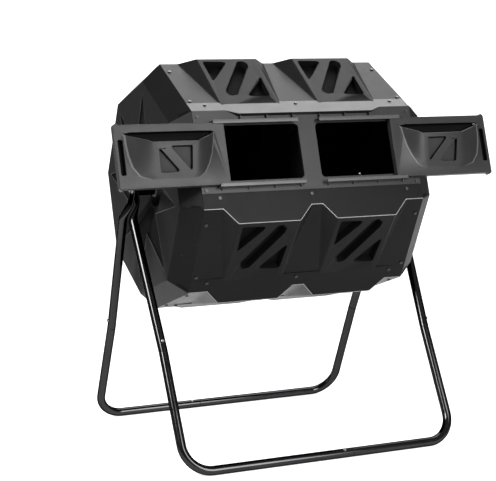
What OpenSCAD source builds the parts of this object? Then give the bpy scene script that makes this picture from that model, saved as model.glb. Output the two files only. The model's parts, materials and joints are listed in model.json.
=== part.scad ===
// Dual-chamber compost tumbler: an octagonal drum of eight wrapped panels and
// two end caps, turning on a fixed axle between two tubular A-frame legs.
// X runs along the axle, -Y is the door side, Z is up, and the origin is the
// floor point under the middle of the axle.

/* [Drum] */
// Height of the axle above the floor
axle_height = 631; // [600:1:680]
// Radius of the drum's octagon, centre to corner
drum_radius = 300; // [290:1:305]
// Half the length of the drum between its two end caps
drum_half_length = 282; // [282:1:290]
// How far the drum is turned forward from corner-up at rest, in degrees
drum_turn = 6; // [0:1:12]
// Wall thickness of the moulded panels and caps
wall = 3; // [2.5:0.1:3.5]
// Width of the strip by which each panel laps its neighbour
lap_width = 37; // [34:1:40]

/* [Panel bulges] */
// How far a bulge carries the lap strip past the octagon's corner
bulge_reach = 36; // [24:1:38]
// Length of a bulge's front edge
bulge_length = 156; // [140:1:160]
// Centre of each chamber, measured from the middle of the drum
chamber_centre = 125; // [120:1:130]
// Depth of the decorative pockets in a bulge
pocket_depth = 18; // [8:1:20]

/* [End caps] */
// How far each cap stands out past the panels
cap_height = 43; // [36:1:48]
// Radius of the cap's flat end octagon
cap_radius = 260; // [250:1:265]
// Radius of the star's points
star_tip = 226; // [210:1:235]
// Radius of the star's inner corners
star_valley = 108; // [95:1:120]
// How far the star sinks at the hub
star_depth = 34; // [20:1:36]

/* [Doors] */
// Length of a sliding door
door_length = 264; // [262:1:266]
// Upper edge of a door above the facet's middle
door_top = 83.5; // [82:0.5:84]
// Lower edge of a door below the facet's middle
door_bottom = 62; // [60:0.5:63]
// Distance from the facet to a door's front
door_stand = 14.6; // [14:0.1:15]
// Distance a door slides between shut and open
door_travel = 202; // [190:1:204]
// Height of a door's bulge above its front
door_bulge = 21; // [12:1:24]

/* [Stand] */
// Outside diameter of the stand's tubes
tube_d = 22; // [20:1:25]
// Wall thickness of the stand's tubes
tube_wall = 1.5; // [1.2:0.1:2]
// Half the distance between the two floor bars
foot_half_depth = 325; // [300:1:340]
// Half the distance between the lower legs
foot_half_width = 348; // [346:1:352]
// Sideways lean of the upper legs, from the joint to axle height
leg_splay = 16; // [10:1:18]
// Height of the joint between the lower and the upper leg tubes
leg_joint_height = 266; // [240:1:300]
// Radius of the bend between leg and floor bar
bend_radius = 66; // [55:1:75]
// Position of the front floor bar's joint
front_bar_joint = 72; // [60:1:80]
// Position of the back floor bar's joint
back_bar_joint = -58; // [-70:1:-50]

/* [Axle and buttons] */
// Diameter of the axle
axle_d = 20; // [18:1:22]
// Diameter of a snap button
button_d = 7; // [6:0.5:8]
// How far a snap button stands out of its tube
button_out = 3.6; // [3:0.1:4]

/* [Hidden] */

$fn = 48;
eps = 0.01;

plastic = [0.16, 0.16, 0.17];
plastic_light = [0.30, 0.30, 0.31];
steel_black = [0.05, 0.05, 0.05];
steel_zinc = [0.62, 0.62, 0.64];
nylon = [0.85, 0.84, 0.80];

facet_angle = 45;
apothem = drum_radius * cos(facet_angle / 2);
half_side = drum_radius * sin(facet_angle / 2);
seam_y = lap_width - half_side;
flange_width = 24;
panel_gap = 0.7;
panel_inner = apothem - wall;
rim_apothem = apothem - 2 * wall;

// Stand geometry: each leg is a straight line from its foot to the axle, seen
// from the side, and leans outward above its joint, seen from the front.
tube_r = tube_d / 2;
bore_r = tube_r - tube_wall;
spigot_r = bore_r - 0.2;
spigot_bore = spigot_r - 1.3;
leg_angle = atan2(foot_half_depth, axle_height - tube_r);
joint_y = foot_half_depth * (axle_height - leg_joint_height) / (axle_height - tube_r);
upper_run = axle_height - leg_joint_height;
upper_plan = upper_run / cos(leg_angle);
upper_length = sqrt(upper_plan * upper_plan + leg_splay * leg_splay);
lean_angle = atan2(leg_splay, upper_plan);
lower_length = (leg_joint_height - tube_r) / cos(leg_angle);
seam_gap = 0.5;
spigot_length = 62;
button_height = 24;
tab_thickness = 5;
tab_inner_x = 338;
tab_r = 15;
tab_neck = 70;
bolt_r = 4;
axle_r = axle_d / 2;

// ---- placing helpers ------------------------------------------------------

// The drum's own axes: origin on the axle, turned to the resting position.
module in_drum() {
    translate([0, 0, axle_height])
        rotate([drum_turn, 0, 0])
            children();
}

// A facet's axes: +Z out of the drum, +Y up the facet, Z = 0 on the axle.
// Facet 0 is the upper front one, 1 carries the doors, and so on downwards.
module on_facet(k) {
    elevation = 67.5 - facet_angle * k;
    rotate([90 - elevation, 0, 0])
        children();
}

// Extrudes a (Y, Z) profile along X.
module along_x(x0, x1) {
    translate([x0, 0, 0])
        rotate([90, 0, 90])
            linear_extrude(x1 - x0)
                children();
}

// The upper leg's axes: Z runs up the tube from the joint, X is outward.
module on_upper_leg(sx, sy) {
    scale_x = sx;
    mirror([scale_x < 0 ? 1 : 0, 0, 0])
        mirror([0, sy > 0 ? 1 : 0, 0])
            translate([foot_half_width, -joint_y, leg_joint_height])
                rotate([-leg_angle, 0, 0])
                    rotate([0, lean_angle, 0])
                        children();
}

// The lower leg's axes: origin at the joint, Z runs up the tube.
module on_lower_leg(sx, sy) {
    mirror([sx < 0 ? 1 : 0, 0, 0])
        mirror([0, sy > 0 ? 1 : 0, 0])
            translate([foot_half_width, -joint_y, leg_joint_height])
                rotate([-leg_angle, 0, 0])
                    children();
}

// A three-edged wedge with its own X range at each edge: [x0, x1, y, z].
module wedge(a, b, c) {
    points = [
        [a[0], a[2], a[3]], [b[0], b[2], b[3]], [c[0], c[2], c[3]],
        [a[1], a[2], a[3]], [b[1], b[2], b[3]], [c[1], c[2], c[3]]
    ];
    polyhedron(points, [
        [0, 1, 2], [5, 4, 3],
        [0, 3, 4, 1], [1, 4, 5, 2], [2, 5, 3, 0]
    ]);
}

// Moves every corner of a convex outline away from its middle.
function middle(pts) = [for (i = [0, 1]) let (v = [for (p = pts) p[i]]) sum(v) / len(pts)];
function sum(v, i = 0) = i < len(v) ? v[i] + sum(v, i + 1) : 0;
function grown(pts, d) =
    let (m = middle(pts))
    [for (p = pts) p + d * (p - m) / norm(p - m)];

// ---- drum panels ----------------------------------------------------------

// The line of a panel: lap strip on the facet above, the corner, the facet,
// and a joggled flange that tucks under the next panel's lap strip.
module panel_profile() {
    lap = lap_width - panel_gap;
    lap_end = [
        half_side + lap * cos(facet_angle),
        apothem - lap * sin(facet_angle)
    ];
    inward = wall * [sin(facet_angle), cos(facet_angle)];
    inner_corner = panel_inner * tan(facet_angle / 2);
    polygon([
        [seam_y, apothem], [half_side, apothem], lap_end,
        lap_end - inward, [inner_corner, panel_inner], [seam_y, panel_inner]
    ]);
    translate([seam_y - flange_width, rim_apothem])
        square([flange_width + 4, wall]);
}

// The three pockets moulded into a bulge, drawn on the bulge's front face with
// the origin in the middle of its upper edge and Y pointing up the face.
pocket_upper = [[-65, -11], [-3, -13], [-63, -91]];
pocket_lower = [[65, -69], [5, -145], [63, -148]];
slot_top = [33, -26];
slot_bottom = [-29, -128];
slot_r = 15;

module pocket_shapes(extra) {
    polygon(grown(pocket_upper, extra));
    polygon(grown(pocket_lower, extra));
    run = slot_top - slot_bottom;
    translate(slot_bottom)
        rotate(atan2(run[1], run[0])) {
            translate([0, -slot_r - extra])
                square([norm(run), 2 * (slot_r + extra)]);
            circle(slot_r + extra);
            translate([norm(run), 0])
                circle(slot_r + extra);
        }
}

bulge_tip = [
    half_side - bulge_reach * cos(facet_angle),
    apothem + bulge_reach * sin(facet_angle)
];
bulge_slope = atan2(bulge_tip[1] - apothem, bulge_tip[0] - seam_y);

module on_bulge_face(x) {
    translate([x, bulge_tip[0], bulge_tip[1]])
        rotate([bulge_slope, 0, 0])
            children();
}

// Outer skin of one bulge; it is widest at the corner and narrows to the seam.
module bulge_outer(x) {
    flare = 33;
    h = bulge_length / 2;
    wedge(
        [x - h - flare, x + h + flare, half_side, apothem - eps],
        [x - h, x + h, bulge_tip[0], bulge_tip[1]],
        [x - h + 2, x + h - 2, seam_y, apothem - eps]
    );
}

// The hollow behind a bulge, open to the chamber.
module bulge_hollow(x) {
    h = bulge_length / 2;
    wedge(
        [x - h - 22, x + h + 22, half_side - 7, apothem - wall - 1],
        [x - h - 1, x + h + 1, bulge_tip[0] - 1, bulge_tip[1] - wall * 1.45],
        [x - h + 8, x + h - 8, seam_y + 12, apothem - wall - 1]
    );
}

module body_panel(k) {
    color(plastic)
        in_drum()
            on_facet(k)
                difference() {
                    union() {
                        difference() {
                            union() {
                                along_x(-drum_half_length, drum_half_length)
                                    panel_profile();
                                for (x = [-chamber_centre, chamber_centre])
                                    bulge_outer(x);
                            }
                            for (x = [-chamber_centre, chamber_centre])
                                bulge_hollow(x);
                        }
                        for (x = [-chamber_centre, chamber_centre])
                            on_bulge_face(x)
                                translate([0, 0, -pocket_depth - 2.5])
                                    linear_extrude(pocket_depth + 1.5)
                                        pocket_shapes(2.5);
                    }
                    for (x = [-chamber_centre, chamber_centre])
                        on_bulge_face(x)
                            translate([0, 0, -pocket_depth])
                                linear_extrude(pocket_depth + 6)
                                    pocket_shapes(0);
                }
}

module panel_top() body_panel(0);
module panel_front() body_panel(2);
module panel_front_low() body_panel(3);
module panel_bottom() body_panel(4);
module panel_back_low() body_panel(5);
module panel_back() body_panel(6);
module panel_back_top() body_panel(7);

// The door panel: two openings, a mullion between them and a hood above.
opening_inner = 22;
opening_outer = 240;
opening_top = 79;
opening_bottom = 51;
opening_r = 10;
hood_reach = 16;
rib_pitch = 66;
rib_start = 35;

module rounded_rect(x0, y0, x1, y1, r) {
    translate([x0 + r, y0])
        square([x1 - x0 - 2 * r, y1 - y0]);
    translate([x0, y0 + r])
        square([x1 - x0, y1 - y0 - 2 * r]);
    for (x = [x0 + r, x1 - r], y = [y0 + r, y1 - r])
        translate([x, y])
            circle(r);
}

module panel_door() {
    hood_y = half_side - hood_reach * cos(facet_angle);
    hood_z = apothem + hood_reach * sin(facet_angle);
    color(plastic)
        in_drum()
            on_facet(1) {
                difference() {
                    union() {
                        along_x(-drum_half_length, drum_half_length)
                            panel_profile();
                        wedge(
                            [-200, 200, half_side, apothem - eps],
                            [-172, 172, hood_y, hood_z],
                            [-172, 172, hood_y - 3.5, apothem - eps]
                        );
                    }
                    for (s = [-1, 1])
                        mirror([s < 0 ? 1 : 0, 0, 0])
                            translate([0, 0, apothem - wall - 1])
                                linear_extrude(wall + 2)
                                    rounded_rect(
                                        opening_inner, -opening_bottom,
                                        opening_outer, opening_top, opening_r
                                    );
                }
                for (s = [-1, 1], i = [0 : 2])
                    translate([s * (rib_start + rib_pitch * i) - 1, rail_wall_top + 3, apothem - eps])
                        cube([2, hood_y - 3 - rail_wall_top - 3, 8]);
            }
}

// ---- door rails -----------------------------------------------------------

rail_start = 27;
rail_end = 241;
rail_lip_top = 80;
rail_wall_top = 86.5;
rail_lip_bottom = 58;
rail_wall_bottom = 64;
rail_thickness = 2.5;
rail_height = door_stand + 0.4 + rail_thickness;

module rail_pair(lip, web, side) {
    for (s = [-1, 1])
        mirror([s < 0 ? 1 : 0, 0, 0])
            along_x(rail_start, rail_end)
                mirror([side < 0 ? 1 : 0, 0]) {
                    translate([web, apothem])
                        square([rail_thickness, rail_height]);
                    translate([lip, apothem + rail_height - rail_thickness])
                        square([web + rail_thickness - lip, rail_thickness]);
                }
}

module door_rails_upper() {
    color(plastic_light)
        in_drum()
            on_facet(1)
                rail_pair(rail_lip_top, rail_wall_top, 1);
}

// The lower rail's web carries small drain feet along its outer side.
module door_rails_lower() {
    color(plastic_light)
        in_drum()
            on_facet(1) {
                rail_pair(rail_lip_bottom, rail_wall_bottom, -1);
                for (s = [-1, 1], i = [0 : 3])
                    translate([
                        s * (rib_start + rib_pitch * i) - 1,
                        -rail_wall_bottom - rail_thickness - 5,
                        apothem
                    ])
                        cube([2, 5 + eps, 5]);
            }
}

// ---- doors ----------------------------------------------------------------

// A door's outline starts at its inner edge and runs out to its finger slot.
door_skin = 2.5;
door_gap = 0.8;
door_tip_inner = 28;
door_tip_outer = 241;
door_face_inner = 75;
door_face_outer = 181;
door_face_top = 37;
door_face_bottom = 44;
door_open_x = drum_half_length - 68;
slot_inner = 239;
slot_outer = 256;

// The bulge's foot on the door: straight above, rounded shoulders below.
door_foot = [
    [door_tip_inner, 62], [36, 13], [45, -8], [58, -32], [72, -42],
    [126, -46], [186, -43], [213, -36], [230, -15], [238, 13], [door_tip_outer, 62]
];
door_pocket_inner = [[88, 29], [142, 29], [90, -27]];
door_pocket_outer = [[173, 29], [172, -28], [120, -27]];

module door_bulge_solid(skin) {
    hull() {
        translate([0, 0, door_stand - 1])
            linear_extrude(1)
                polygon(grown(door_foot, -skin));
        translate([door_face_inner + skin, door_face_top - skin, door_stand])
            cube([door_face_outer - door_face_inner - 2 * skin, 0.2, door_bulge - skin]);
    }
}

module door_shell() {
    height = door_top + door_bottom;
    difference() {
        union() {
            translate([0, -door_bottom, door_gap])
                cube([door_length, height, door_stand - door_gap]);
            for (y = [-door_bottom + 4, door_top - 4])
                translate([door_length - 7, y, door_gap])
                    cylinder(r = 7, h = door_stand - door_gap);
            door_bulge_solid(0);
        }
        translate([door_skin, door_skin - door_bottom, -1])
            cube([door_length - 2 * door_skin, height - 2 * door_skin, door_stand - door_skin + 1]);
        door_bulge_solid(door_skin + 0.5);
    }
}

// Shelf-like finger pocket above the bulge, sunk behind the door's front.
module door_pocket_cut(skin) {
    hull() {
        translate([door_tip_inner + 6 - skin, 60 + skin, door_stand - 2])
            cube([door_tip_outer - door_tip_inner - 12 + 2 * skin, 0.5, 4]);
        translate([door_tip_inner + 24 - skin, 58 + skin, 5 - skin])
            cube([door_tip_outer - door_tip_inner - 48 + 2 * skin, 0.5, 2]);
        translate([door_face_inner + 4, door_face_top + 1 - skin, door_stand + door_bulge - 4])
            cube([door_face_outer - door_face_inner - 8, 1, 3]);
    }
}

module finger_slot(skin) {
    translate([slot_inner - skin, -32 - skin, 4 - skin])
        cube([slot_outer - slot_inner + 2 * skin, 82 + 2 * skin, door_stand + skin]);
}

module door_pockets(extra, depth) {
    tilt = atan2(door_bulge, door_face_top + door_face_bottom);
    translate([0, door_face_top, door_stand + door_bulge])
        rotate([tilt, 0, 0])
            translate([0, -door_face_top, -depth])
                linear_extrude(depth + 8) {
                    polygon(grown(door_pocket_inner, extra));
                    polygon(grown(door_pocket_outer, extra));
                }
}

module door_body() {
    difference() {
        union() {
            door_shell();
            intersection() {
                union() {
                    door_pocket_cut(door_skin);
                    finger_slot(door_skin);
                    door_pockets(2, 9);
                }
                union() {
                    translate([0, -door_bottom, door_gap])
                        cube([door_length, door_top + door_bottom, door_stand - door_gap]);
                    door_bulge_solid(0);
                }
            }
        }
        door_pocket_cut(0);
        finger_slot(0);
        door_pockets(0, 7);
    }
}

module door_left() {
    color(plastic)
        in_drum()
            on_facet(1)
                mirror([1, 0, 0])
                    translate([door_open_x, 0, apothem])
                        door_body();
}

module door_right() {
    color(plastic)
        in_drum()
            on_facet(1)
                translate([door_open_x, 0, apothem])
                    door_body();
}

// ---- end caps, divider and hub --------------------------------------------

// A regular octagon prism or frustum along +X, with its corners on the drum's.
module octagon(x0, r0, x1, r1) {
    translate([x0, 0, 0])
        rotate([0, 90, 0])
            cylinder(r1 = r0, r2 = r1, h = x1 - x0, $fn = 8);
}

// The sunk star: sixteen corners on the end face, falling to the hub's circle.
module star_dish(lift, grow) {
    face_x = drum_half_length + cap_height;
    rings = [
        [face_x + 1, 1], [face_x - lift, 1], [face_x - star_depth - lift, 0]
    ];
    hub_r = 44;
    count = 16;
    rim = [
        for (ring = rings, i = [0 : count - 1])
            let (
                star_r = i % 2 == 0 ? star_tip : star_valley,
                r = ring[1] * star_r + (1 - ring[1]) * hub_r + grow,
                a = i * 360 / count
            )
            [ring[0], r * sin(a), r * cos(a)]
    ];
    points = concat(rim, [[rings[0][0], 0, 0], [rings[2][0], 0, 0]]);
    walls = [
        for (ring = [0, 1], i = [0 : count - 1])
            let (
                a = ring * count + i,
                b = ring * count + (i + 1) % count
            )
            each [[b + count, b, a], [a + count, b + count, a]]
    ];
    ends = [
        for (i = [0 : count - 1])
            let (j = (i + 1) % count)
            each [[i, j, 3 * count], [2 * count + j, 2 * count + i, 3 * count + 1]]
    ];
    polyhedron(points, concat(walls, ends));
}

bush_r = 14;
boss_r = 24;
hub_floor = drum_half_length + cap_height - star_depth;
boss_start = hub_floor - 36;

module end_cap() {
    face_x = drum_half_length + cap_height;
    seam = drum_half_length;
    tongue = 22;
    tongue_r = rim_apothem / cos(facet_angle / 2);
    difference() {
        union() {
            difference() {
                union() {
                    octagon(seam, drum_radius, face_x, cap_radius);
                    octagon(seam - tongue, tongue_r, seam + 1, tongue_r);
                }
                octagon(seam - tongue - 1, tongue_r - wall, seam + 3, tongue_r - wall);
                octagon(seam + 2, tongue_r - wall - 0.5, face_x - wall, cap_radius - wall - 4);
            }
            // the star's skin, standing inside the cap
            translate([-wall, 0, 0])
                star_dish(0, 4);
            // hub boss
            translate([boss_start, 0, 0])
                rotate([0, 90, 0])
                    cylinder(r = boss_r, h = hub_floor - boss_start + 2);
        }
        star_dish(0, 0);
        translate([boss_start - 1, 0, 0])
            rotate([0, 90, 0])
                cylinder(r = bush_r, h = 60);
    }
}

module end_cap_left() {
    color(plastic)
        in_drum()
            mirror([1, 0, 0])
                end_cap();
}

module end_cap_right() {
    color(plastic)
        in_drum()
            end_cap();
}

// Flanged nylon bushes, pressed into the caps' bosses.
bush_clearance = 0.08;
module hub_bushes() {
    flange = 2.5;
    color(nylon)
        in_drum()
            for (s = [-1, 1])
                mirror([s < 0 ? 1 : 0, 0, 0])
                    rotate([0, 90, 0])
                        difference() {
                            union() {
                                translate([0, 0, boss_start])
                                    cylinder(r = bush_r, h = hub_floor - boss_start);
                                translate([0, 0, hub_floor])
                                    cylinder(r = bush_r + 6, h = flange);
                            }
                            translate([0, 0, boss_start - 1])
                                cylinder(r = axle_r + bush_clearance, h = 60);
                        }
}

// The wall between the chambers, with a rim that the panels screw to.
module divider() {
    rim_r = rim_apothem / cos(facet_angle / 2);
    rim_width = 22;
    collar_r = 22;
    color(plastic)
        in_drum()
            difference() {
                union() {
                    octagon(-wall / 2, rim_r, wall / 2, rim_r);
                    difference() {
                        octagon(-rim_width, rim_r, wall / 2, rim_r);
                        octagon(-rim_width - 1, rim_r - wall, 0, rim_r - wall);
                    }
                    for (a = [0 : 45 : 135])
                        rotate([a, 0, 0])
                            translate([-10, -1.5, -rim_r * 0.9])
                                cube([10, 3, 2 * rim_r * 0.9]);
                    translate([-20, 0, 0])
                        rotate([0, 90, 0])
                            cylinder(r = collar_r, h = 40);
                }
                translate([-30, 0, 0])
                    rotate([0, 90, 0])
                        cylinder(r = axle_r + 0.6, h = 60);
            }
}

// ---- fasteners on the drum ------------------------------------------------

screw_head_r = 4;
screw_head_h = 2.2;
screw_r = 1.9;
screw_length = 11;

// A pan-head screw along -Z with its head resting on Z = 0.
module screw() {
    cylinder(r = screw_head_r, h = screw_head_h);
    translate([0, 0, -screw_length])
        cylinder(r = screw_r, h = screw_length + eps);
}

// Three screws in every lap strip: one near each end, one in the divider.
module seam_screws() {
    color(steel_zinc)
        in_drum()
            for (k = [0 : 7])
                on_facet(k)
                    for (x = [-241, -11, 241])
                        translate([x, seam_y - 11, apothem])
                            screw();
}

// Two screws at each end of every facet hold the panels to a cap.
module cap_screw_row() {
    for (k = [0 : 7])
        on_facet(k)
            for (y = [k == 1 ? 101 : 74, seam_y + 7])
                translate([drum_half_length - 11, y, apothem])
                    screw();
}

module cap_screws_left() {
    color(steel_zinc)
        in_drum()
            mirror([1, 0, 0])
                cap_screw_row();
}

module cap_screws_right() {
    color(steel_zinc)
        in_drum()
            cap_screw_row();
}

// ---- axle -----------------------------------------------------------------

module along_axle(x) {
    for (s = [-1, 1])
        mirror([s < 0 ? 1 : 0, 0, 0])
            translate([x, 0, axle_height])
                rotate([0, 90, 0])
                    children();
}

module axle() {
    color(steel_zinc)
        difference() {
            translate([-tab_inner_x, 0, axle_height])
                rotate([0, 90, 0])
                    cylinder(r = axle_r, h = 2 * tab_inner_x);
            along_axle(tab_inner_x - 34)
                cylinder(r = bolt_r + 0.1, h = 40);
        }
}

washer_x = tab_inner_x + 2 * tab_thickness;
washer_thickness = 1.6;

module axle_washers() {
    color(steel_zinc)
        along_axle(washer_x)
            difference() {
                cylinder(r = 10, h = washer_thickness);
                translate([0, 0, -1])
                    cylinder(r = bolt_r + 0.3, h = 4);
            }
}

module axle_bolts() {
    color(steel_zinc)
        along_axle(washer_x + washer_thickness) {
            cylinder(r = 7.5, h = 5.5, $fn = 6);
            translate([0, 0, -36])
                cylinder(r = bolt_r, h = 36 + eps);
        }
}

// Sleeves that keep the drum's hubs centred between the legs.
module axle_spacers() {
    start = hub_floor + 2.5 + 0.5;
    color(steel_black)
        along_axle(start)
            difference() {
                cylinder(r = 15, h = tab_inner_x - start);
                translate([0, 0, -1])
                    cylinder(r = axle_r + 0.1, h = 60);
            }
}

// ---- stand ----------------------------------------------------------------

// A hollow tube along +Z.
module tube(length, outer, inner) {
    difference() {
        cylinder(r = outer, h = length);
        translate([0, 0, -1])
            cylinder(r = inner, h = length + 2);
    }
}

// The hole and button directions differ with the tube: 0 is outward, -90 front.
module button_direction(turn) {
    translate([0, 0, button_height])
        rotate([0, 0, turn])
            rotate([0, 90, 0])
                children();
}

button_hole_r = button_d / 2 + 0.3;

// An upper leg: a round tube whose top is pressed flat into an eye. The back
// legs' eyes lie outside the front legs' eyes.
module upper_leg(sx, sy, turn) {
    eye_x = tab_inner_x + (sy > 0 ? tab_thickness : 0);
    straight = upper_length - tab_neck;
    color(steel_black)
        difference() {
            union() {
                on_upper_leg(sx, sy)
                    difference() {
                        translate([0, 0, seam_gap])
                            cylinder(r = tube_r, h = straight - seam_gap);
                        cylinder(r = bore_r, h = 2 * (straight - 12), center = true);
                        button_direction(turn)
                            cylinder(r = button_hole_r, h = 30);
                    }
                hull() {
                    on_upper_leg(sx, sy)
                        translate([0, 0, straight - 6])
                            cylinder(r = tube_r - 0.4, h = 7, $fn = 32);
                    eye_at(sx, eye_x)
                        rotate([sy * leg_angle, 0, 0])
                            translate([0.2, -tab_r + 0.3, -32])
                                cube([tab_thickness - 0.4, 2 * tab_r - 0.6, 3]);
                }
                eye_at(sx, eye_x)
                    rotate([sy * leg_angle, 0, 0]) {
                        translate([0, -tab_r, -31])
                            cube([tab_thickness, 2 * tab_r, 31]);
                        rotate([0, 90, 0])
                            cylinder(r = tab_r, h = tab_thickness);
                    }
            }
            eye_at(sx, eye_x)
                translate([-1, 0, 0])
                    rotate([0, 90, 0])
                        cylinder(r = bolt_r + 0.3, h = tab_thickness + 2);
        }
}

// The eye's axes: origin on the axle line at the eye's inner face.
module eye_at(sx, eye_x) {
    mirror([sx < 0 ? 1 : 0, 0, 0])
        translate([eye_x, 0, axle_height])
            children();
}

module leg_upper_front_left() upper_leg(-1, -1, -90);
module leg_upper_front_right() upper_leg(1, -1, 0);
module leg_upper_back_left() upper_leg(-1, 1, 0);
module leg_upper_back_right() upper_leg(1, 1, -90);

// A floor bar's axes: origin in its joint, Z runs along the bar to the left,
// X points up from the floor.
module on_bar(x, sy) {
    translate([x, sy * foot_half_depth, tube_r])
        rotate([0, -90, 0])
            children();
}

// The leg, its bend and part of the floor bar as one rod of the given radius.
module bent_rod(r, bar_end, extra) {
    straight = lower_length - bend_radius;
    translate([0, 0, -straight])
        cylinder(r = r, h = straight + extra);
    // the bend turns from the leg towards the middle of the stand
    translate([-bend_radius, 0, -straight])
        rotate([90, 0, 0])
            rotate_extrude(angle = -90)
                translate([bend_radius, 0])
                    circle(r);
    translate([-bend_radius, 0, -lower_length])
        rotate([0, -90, 0])
            cylinder(r = r, h = foot_half_width - bend_radius - bar_end + extra);
}

// The narrowed end of a tube, with the hole for its snap button.
module spigot(turn) {
    difference() {
        translate([0, 0, -5])
            cylinder(r = spigot_r, h = spigot_length + 5);
        translate([0, 0, -7])
            cylinder(r = spigot_bore, h = spigot_length + 20);
        button_direction(turn)
            cylinder(r = button_hole_r, h = 30);
    }
}

// A base tube: spigot, lower leg, bend and part of the floor bar, in one bent
// tube. A long one passes the middle of the stand, and a short one meets it.
module base_tube(sx, sy, bar_end, turn) {
    end_x = sx * bar_end;
    bar_hole = sx < 0;
    color(steel_black) {
        difference() {
            on_lower_leg(sx, sy)
                difference() {
                    bent_rod(tube_r, bar_end, 0);
                    bent_rod(bore_r, bar_end, 1);
                }
            if (bar_hole)
                on_bar(end_x + seam_gap, sy)
                    button_direction(bar_turn)
                        cylinder(r = button_hole_r, h = 30);
        }
        on_lower_leg(sx, sy)
            translate([0, 0, -10])
                tube(9.5, bore_r + 0.6, spigot_bore - 0.5);
        // the narrowed upper end follows the upper leg
        on_upper_leg(sx, sy)
            spigot(turn);
        if (!bar_hole)
            on_bar(end_x, sy) {
                translate([0, 0, -10])
                    tube(9.5, bore_r + 0.6, spigot_bore - 0.5);
                spigot(bar_turn);
            }
    }
}

bar_turn = -35;

module base_tube_front_long() base_tube(-1, -1, -front_bar_joint + seam_gap, -90);
module base_tube_front_short() base_tube(1, -1, front_bar_joint, 0);
module base_tube_back_long() base_tube(1, 1, back_bar_joint, -90);
module base_tube_back_short() base_tube(-1, 1, -back_bar_joint + seam_gap, 0);

// A leaf spring bent double lies in each spigot and presses its button out.
clip_width = 6;
clip_length = 30;
clip_inner = 6.2;

module clip_leaf() {
    translate([-clip_length + 4, -clip_width / 2, -clip_inner - 1])
        cube([clip_length, clip_width, 1]);
}

module button_clips() {
    color(steel_zinc) {
        for (leg = [[-1, -1, -90], [1, -1, 0], [-1, 1, 0], [1, 1, -90]])
            on_upper_leg(leg[0], leg[1])
                button_direction(leg[2])
                    clip_leaf();
        on_bar(front_bar_joint, -1)
            button_direction(bar_turn)
                clip_leaf();
        on_bar(back_bar_joint, 1)
            button_direction(bar_turn)
                clip_leaf();
    }
}

// A snap button: a round-nosed pin on the moving leaf of its spring.
module button_pin() {
    reach = tube_r + button_out;
    cylinder(r = button_d / 2, h = reach - 1);
    translate([0, 0, reach - 1 - eps])
        cylinder(r1 = button_d / 2, r2 = button_d / 2 - 1.2, h = 1);
    translate([-clip_length + 4, -clip_width / 2, 4.6])
        cube([clip_length, clip_width, 1]);
}

module snap_button(sx, sy, turn) {
    color(steel_zinc)
        on_upper_leg(sx, sy)
            button_direction(turn)
                button_pin();
}

module bar_button(x, sy) {
    color(steel_zinc)
        on_bar(x, sy)
            button_direction(bar_turn)
                button_pin();
}

module snap_button_front_left() snap_button(-1, -1, -90);
module snap_button_front_right() snap_button(1, -1, 0);
module snap_button_back_left() snap_button(-1, 1, 0);
module snap_button_back_right() snap_button(1, 1, -90);
module snap_button_front_bar() bar_button(front_bar_joint, -1);
module snap_button_back_bar() bar_button(back_bar_joint, 1);

leg_upper_front_left();
leg_upper_front_right();
leg_upper_back_left();
leg_upper_back_right();
base_tube_front_long();
base_tube_front_short();
base_tube_back_long();
base_tube_back_short();
button_clips();
snap_button_front_left();
snap_button_front_right();
snap_button_back_left();
snap_button_back_right();
snap_button_front_bar();
snap_button_back_bar();
axle();
axle_bolts();
axle_washers();
axle_spacers();
panel_top();
panel_door();
panel_front();
panel_front_low();
panel_bottom();
panel_back_low();
panel_back();
panel_back_top();
end_cap_left();
end_cap_right();
hub_bushes();
divider();
door_rails_upper();
door_rails_lower();
seam_screws();
cap_screws_left();
cap_screws_right();
door_left();
door_right();
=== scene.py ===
import json
import math
import bpy
import bmesh
from mathutils import Matrix, Vector
from mathutils.geometry import tessellate_polygon


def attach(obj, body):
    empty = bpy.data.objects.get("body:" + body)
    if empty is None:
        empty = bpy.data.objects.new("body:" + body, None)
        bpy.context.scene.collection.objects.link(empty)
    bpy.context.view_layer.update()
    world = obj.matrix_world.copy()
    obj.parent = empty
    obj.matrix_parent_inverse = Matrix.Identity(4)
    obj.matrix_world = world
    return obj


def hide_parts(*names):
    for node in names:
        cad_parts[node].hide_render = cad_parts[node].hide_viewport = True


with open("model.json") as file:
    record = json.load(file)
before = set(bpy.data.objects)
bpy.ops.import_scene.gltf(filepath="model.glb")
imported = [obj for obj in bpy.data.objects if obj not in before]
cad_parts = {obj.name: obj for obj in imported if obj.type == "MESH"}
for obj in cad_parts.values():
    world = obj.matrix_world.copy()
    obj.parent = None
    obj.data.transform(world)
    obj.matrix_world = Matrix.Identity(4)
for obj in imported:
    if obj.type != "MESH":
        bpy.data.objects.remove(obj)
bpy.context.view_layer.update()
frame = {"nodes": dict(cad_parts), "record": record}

NODES = frame["nodes"]

# ---------------------------------------------------------------- camera
# angles in radians, place in metres, lens and sensor in millimetres
YAW, PITCH, ROLL = -0.412012946, 0.109416211, -0.0166323712
EYE = Vector((-1.442512, -3.194339, 0.872858))
LENS, SENSOR = 101.74, 36.0
NEAREST, FARTHEST = 0.05, 60.0


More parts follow.
